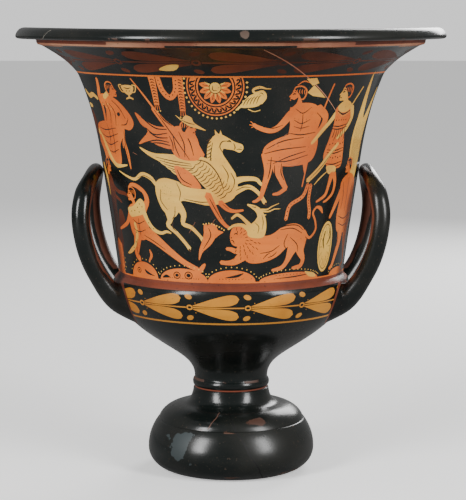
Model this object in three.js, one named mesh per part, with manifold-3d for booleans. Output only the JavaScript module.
// Calyx krater: a large footed mixing bowl of fired clay, thrown on the wheel in sections and
// joined, with two upright loop handles. Millimetres, +Z up, the origin at the middle of the
// resting ring. The painted front faces -Y and the handles stand at +X and -X.
import * as THREE from 'three';
import { mergeVertices } from 'three/addons/utils/BufferGeometryUtils.js';
import Module from 'manifold-3d';

const wasm = await Module();
wasm.setup();

// Driving dimensions.
const HEIGHT = 500;            // to the top of the lip
const LIP_R = 240.2;           // widest radius, at the lip's lower edge
const LIP_TOP_R = 229;         // where the lip's top turns into the bowl
const LIP_DEPTH = 12.6;        // height of the lip's outer face
const FILLET_R = 217.2;        // small moulding under the lip
const MOUTH_R = 211;           // top of the flaring mouth
const MOUTH_Z = 480;
const NECK_R = 171.5;          // where the mouth starts to flare
const NECK_Z = 449;
const WALL_R = 147.2;          // wall two thirds of the way up
const WALL_Z = 362;
const WALL_FOOT_R = 127.5;     // wall where it stands on the lower bowl
const RIDGE_R = 133.6;         // rounded ridge round the top of the lower bowl
const RIDGE_Z = 215;
const RIDGE_TOP_Z = 226;
const BOWL_R = 80.5;           // lower bowl where it turns into the stem
const BOWL_Z = 147;
const STEM_R = 41.6;           // narrowest part of the stem
const STEM_RING_R = 43.7;
const STEM_RING_Z = [95.2, 104];
const FOOT_R = 95;             // widest radius of the foot
const FOOT_WIDE_Z = 24;
const STEP_R = 84;             // incised line round the shoulder of the foot
const STEP_Z = 56.5;
const SHOULDER_R = 56;         // where the foot's shoulder meets the stem's flare
const SHOULDER_Z = 74.5;
const REST_R = [64, 71];       // flat resting ring
const HOLLOW_R = 28;           // hollow inside the stem
const HOLLOW_TOP = 112;
const WALL = 8.5;              // thickness of the bowl's wall
const FLOOR_Z = 135;           // bottom of the bowl inside
const SADDLE = 1.5;            // the rim sags this much at front and back, and rises at the sides

const HANDLE_ARM_R = 10.2;     // radius of a handle's arm
const HANDLE_ROOT_R = 14.5;    // where it spreads on the bowl
const HANDLE_TOP_R = 8.3;      // the bar, close to the wall
const ROOT_DEPTH = 4;          // how far from the inner surface its roots end, in the wall
const AROUND = 60;             // faces round the vessel
const HANDLE_SIDES = 10;
const HANDLE_STEPS = 27;

const CLAY = { color: 0x2a2f2d, roughness: 0.28, metalness: 0 };

// A stretch of profile (radius, height) from a to d, pulled towards b and c.
function bend(a, b, c, d, pieces) {
  const curve = new THREE.CubicBezierCurve(...[a, b, c, d].map(([r, z]) => new THREE.Vector2(r, z)));
  return curve.getPoints(pieces);
}

const corner = (...places) => places.map(([r, z]) => new THREE.Vector2(r, z));

// The hollow under the foot, from its top in the stem down to the resting ring.
function hollowProfile() {
  return [
    ...bend([0, HOLLOW_TOP], [16, HOLLOW_TOP], [HOLLOW_R - 1, 108], [HOLLOW_R, 92], 2),
    ...bend([HOLLOW_R, 92], [HOLLOW_R, 66], [REST_R[0] - 3, 62], [REST_R[0], 0], 4),
  ];
}

// The foot: a bellied ring, an incised line and a domed shoulder.
function footProfile() {
  return [
    ...bend([REST_R[1], 0], [83, 0.5], [FOOT_R, 10], [FOOT_R, FOOT_WIDE_Z], 3),
    ...bend([FOOT_R, FOOT_WIDE_Z], [FOOT_R, 37], [90.5, 48], [STEP_R, STEP_Z], 3),
    ...corner([STEP_R - 1.1, STEP_Z + 0.4]),
    ...bend([STEP_R - 1.4, STEP_Z + 1.7], [79.5, 66.5], [70, 73.5], [SHOULDER_R, SHOULDER_Z], 3),
  ];
}

// The stem: a flare, a small ring between two incised lines, and a hollow curve to the bowl.
function stemProfile() {
  const [low, high] = STEM_RING_Z;
  return [
    ...bend([SHOULDER_R, SHOULDER_Z], [48.5, 75], [44.4, 81], [STEM_R + 1.4, low - 2.7], 3),
    ...corner([STEM_R + 0.4, low - 1.6]),
    ...bend([STEM_R + 0.6, low], [STEM_RING_R + 0.7, low + 1.5], [STEM_RING_R + 0.7, high - 1.5],
      [STEM_R + 0.4, high], 2),
    ...bend([STEM_R, high + 1.2], [STEM_R, 124], [59, 132.5], [BOWL_R, BOWL_Z], 5),
  ];
}

// The lower bowl swells out to the ridge, and the wall stands a little inside it.
function bowlProfile() {
  return [
    ...bend([BOWL_R, BOWL_Z], [105, 163.5], [131.5, 181], [RIDGE_R, RIDGE_Z], 5),
    ...bend([RIDGE_R, RIDGE_Z], [134, 219], [132.5, 222], [WALL_FOOT_R, RIDGE_TOP_Z], 2),
    ...bend([WALL_FOOT_R, RIDGE_TOP_Z], [132.4, 268], [141.2, 322], [WALL_R, WALL_Z], 3),
    ...bend([WALL_R, WALL_Z], [152.4, 396], [160.5, 424], [NECK_R, NECK_Z], 3),
    ...bend([NECK_R, NECK_Z], [181, 463], [198, 472.5], [MOUTH_R, MOUTH_Z], 3),
  ];
}

// The fillet, the flat underside of the lip and the lip's sloping face.
function lipProfile() {
  const under = HEIGHT - LIP_DEPTH;
  return [
    ...corner([FILLET_R - 1.4, MOUTH_Z + 1.4], [FILLET_R, MOUTH_Z + 3.4]),
    ...corner([FILLET_R + 0.4, under - 1.2], [FILLET_R + 4, under]),
    ...bend([LIP_R - 4.7, under], [LIP_R + 0.8, under + 0.4], [LIP_R + 1.1, under + 3.1],
      [LIP_R - 1, HEIGHT - 5.8], 2),
    ...bend([LIP_R - 1, HEIGHT - 5.8], [LIP_R - 3, HEIGHT - 2.2], [LIP_R - 5.7, HEIGHT],
      [LIP_TOP_R, HEIGHT], 2),
  ];
}

// The inside, from the lip down the mouth and the wall to the middle of the floor.
function insideProfile() {
  const neck = [176, NECK_Z + 13];
  const wall = [WALL_R - WALL, WALL_Z];
  const wallFoot = [WALL_FOOT_R - WALL + 1.5, RIDGE_TOP_Z + 6];
  const floorEdge = [76, 154.5];
  return [
    ...bend([LIP_TOP_R, HEIGHT], [212, HEIGHT - 1], [190, 479], neck, 3),
    ...bend(neck, [158, 438], [145.5, 400], wall, 3),
    ...bend(wall, [132.7, 322], [124.3, 268], wallFoot, 2),
    ...bend(wallFoot, [122.5, 190], [106, 168], floorEdge, 4),
    ...bend(floorEdge, [50, 140], [25, FLOOR_Z], [0, FLOOR_Z], 3),
  ];
}

// A profile without the points that two neighbouring stretches share.
function joined(stretches) {
  const points = stretches.flat();
  return points.filter((point, i) => i === 0 || point.distanceTo(points[i - 1]) > 0.05);
}

const turned = (profile) => new THREE.LatheGeometry(profile, AROUND).rotateX(Math.PI / 2);

function vesselGeometry() {
  return turned(joined([hollowProfile(), footProfile(), stemProfile(), bowlProfile(),
    lipProfile(), insideProfile()]));
}

// The space in the bowl, grown a little way into the wall: the handles' roots end there.
function rootLimitGeometry() {
  const space = joined([insideProfile()]).map(({ x, y }) => new THREE.Vector2(x && x + ROOT_DEPTH, y));
  return turned([...space.reverse(), new THREE.Vector2(0, HEIGHT)]);
}

// One handle: up from the lower bowl, outwards and back in to a bar close under the wall's
// flare. Each place is along X, across Y and up Z, and the second half mirrors the first.
function handlePath() {
  const arm = [[96, 33, 180], [126, 49, 200.5], [145.5, 61, 226], [158.5, 70, 257],
    [164.3, 74, 292], [161.8, 68, 317.5], [156, 43, 334]];
  const bar = [153.8, 0, 339.5];
  const places = [...arm, bar, ...arm.map(([x, y, z]) => [x, -y, z]).reverse()];
  return new THREE.CatmullRomCurve3(places.map((place) => new THREE.Vector3(...place)));
}

// How thick a handle is at a height: spread at its roots, slimmer in the bar at the top.
function handleRadius(z) {
  const root = THREE.MathUtils.smoothstep(232 - z, 0, 45);
  const top = THREE.MathUtils.smoothstep(z, 318, 338);
  return HANDLE_ARM_R + (HANDLE_ROOT_R - HANDLE_ARM_R) * root - (HANDLE_ARM_R - HANDLE_TOP_R) * top;
}

function handleGeometry() {
  const path = handlePath();
  const section = new THREE.Shape();
  for (let i = 0; i < HANDLE_SIDES; i += 1) {
    const turn = (2 * Math.PI * i) / HANDLE_SIDES;
    const place = [HANDLE_ARM_R * Math.cos(turn), HANDLE_ARM_R * Math.sin(turn)];
    if (i === 0) section.moveTo(...place);
    else section.lineTo(...place);
  }
  const tube = new THREE.ExtrudeGeometry(section, { steps: HANDLE_STEPS, extrudePath: path });
  const centres = path.getSpacedPoints(HANDLE_STEPS);
  const places = tube.attributes.position;
  const point = new THREE.Vector3();
  for (let i = 0; i < places.count; i += 1) {
    point.fromBufferAttribute(places, i);
    const centre = centres.reduce((a, b) => (b.distanceTo(point) < a.distanceTo(point) ? b : a));
    point.sub(centre).setLength(handleRadius(centre.z)).add(centre);
    places.setXYZ(i, point.x, point.y, point.z);
  }
  return tube;
}

function toSolid(geometry) {
  geometry.deleteAttribute('normal');
  geometry.deleteAttribute('uv');
  const merged = mergeVertices(geometry, 1e-3);
  return new wasm.Manifold(new wasm.Mesh({
    numProp: 3,
    vertProperties: new Float32Array(merged.attributes.position.array),
    triVerts: new Uint32Array(merged.index.array),
  }));
}

// The fired clay warped a little: the rim is lower at front and back than over the handles.
function warp(x, y, z) {
  const rise = THREE.MathUtils.clamp((z - RIDGE_TOP_Z) / (HEIGHT - RIDGE_TOP_Z), 0, 1);
  const across = x * x + y * y;
  return across < 1 ? z : z + (SADDLE * rise * (x * x - y * y)) / across;
}

function kraterGeometry() {
  const handles = toSolid(handleGeometry()).add(toSolid(handleGeometry().rotateZ(Math.PI)));
  const { vertProperties, triVerts, numProp } = toSolid(vesselGeometry())
    .add(handles.subtract(toSolid(rootLimitGeometry()))).getMesh();
  const places = [];
  for (let i = 0; i < vertProperties.length; i += numProp) {
    const [x, y, z] = vertProperties.slice(i, i + 3);
    places.push(x, y, warp(x, y, z));
  }
  const geometry = new THREE.BufferGeometry();
  geometry.setAttribute('position', new THREE.Float32BufferAttribute(places, 3));
  geometry.setIndex(Array.from(triVerts));
  geometry.computeVertexNormals();
  return geometry;
}

// Foot, stem, bowl, lip and handles are one piece of fired clay.
const krater = new THREE.Mesh(kraterGeometry(), new THREE.MeshStandardMaterial(CLAY));
krater.name = 'krater';

const group = new THREE.Group();
group.add(krater);

export default group;
